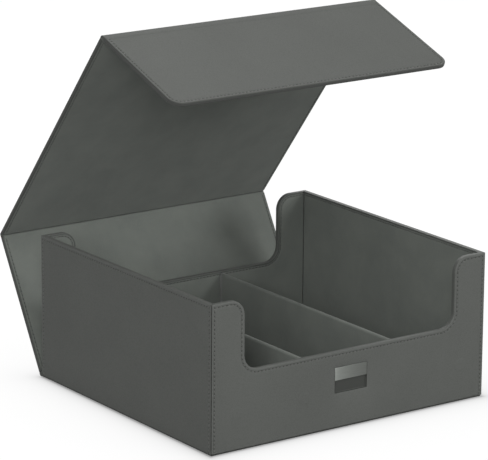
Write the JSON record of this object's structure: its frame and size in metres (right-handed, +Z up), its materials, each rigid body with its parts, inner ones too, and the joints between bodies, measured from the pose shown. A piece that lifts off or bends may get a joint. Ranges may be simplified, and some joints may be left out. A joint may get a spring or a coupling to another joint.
{
  "type": "card storage case",
  "caption": "Stitched leatherette tray with three card rows under a wrap-around folding cover that closes with hidden magnets.",
  "frame": {"origin": "centre of the tray's underside, on the face that it rests on", "axes": "+Z up, the front wall faces -Y, the cover folds down behind the tray towards +Y"},
  "size_m": [0.268, 0.3083, 0.3029],
  "materials": {
    "leatherette": "grained matt imitation leather, stitched near its edges",
    "suede_lining": "soft mottled imitation suede",
    "greyboard": "plain pressed board, hidden inside the walls and panels",
    "dark_recess": "satin dark grey",
    "brushed_plate": "fine horizontal brushing, blank",
    "magnet": "nickel plated, hidden in the boards"
  },
  "bodies": {
    "tray": {"underside_skin": "leatherette", "front_outer_skin": "leatherette", "rear_outer_skin": "leatherette", "left_outer_skin": "leatherette", "right_outer_skin": "leatherette", "base_board": "greyboard", "front_wall_board": "greyboard", "rear_wall_board": "greyboard", "left_wall_board": "greyboard", "right_wall_board": "greyboard", "floor_lining": "suede_lining", "front_lining": "suede_lining", "rear_lining": "suede_lining", "left_lining": "suede_lining", "right_lining": "suede_lining", "left_divider_board": "greyboard", "left_divider_sleeve": "suede_lining", "right_divider_board": "greyboard", "right_divider_sleeve": "suede_lining", "plate_recess": "dark_recess", "front_plate": "brushed_plate", "tray_magnet_1": "magnet", "tray_magnet_2": "magnet", "tray_magnet_3": "magnet", "tray_magnet_4": "magnet", "rear_fold_strap": "leatherette"},
    "back_panel": {"back_panel_skin": "leatherette", "back_panel_board": "greyboard", "back_panel_lining": "suede_lining", "top_fold_strap": "leatherette"},
    "top_panel": {"top_panel_skin": "leatherette", "top_panel_board": "greyboard", "top_panel_lining": "suede_lining", "flap_fold_strap": "leatherette"},
    "flap": {"flap_skin": "leatherette", "flap_board": "greyboard", "flap_lining": "suede_lining", "flap_magnet_1": "magnet", "flap_magnet_2": "magnet", "flap_magnet_3": "magnet", "flap_magnet_4": "magnet"}
  },
  "joints": [
    {"name": "rear_fold", "type": "hinge", "parent": "tray", "child": "back_panel", "pos_m": [0, 0.1242, 0.0018], "axis": [1, 0, 0], "range_deg": [-60.25, 29.75]},
    {"name": "top_fold", "type": "hinge", "parent": "back_panel", "child": "top_panel", "pos_m": [0, 0.18454, 0.10737], "axis": [1, 0, 0], "range_deg": [-68.51, 21.49]},
    {"name": "flap_fold", "type": "hinge", "parent": "top_panel", "child": "flap", "pos_m": [0, 0.02903, 0.30107], "axis": [1, 0, 0], "range_deg": [-71.07, 18.93]}
  ]
}
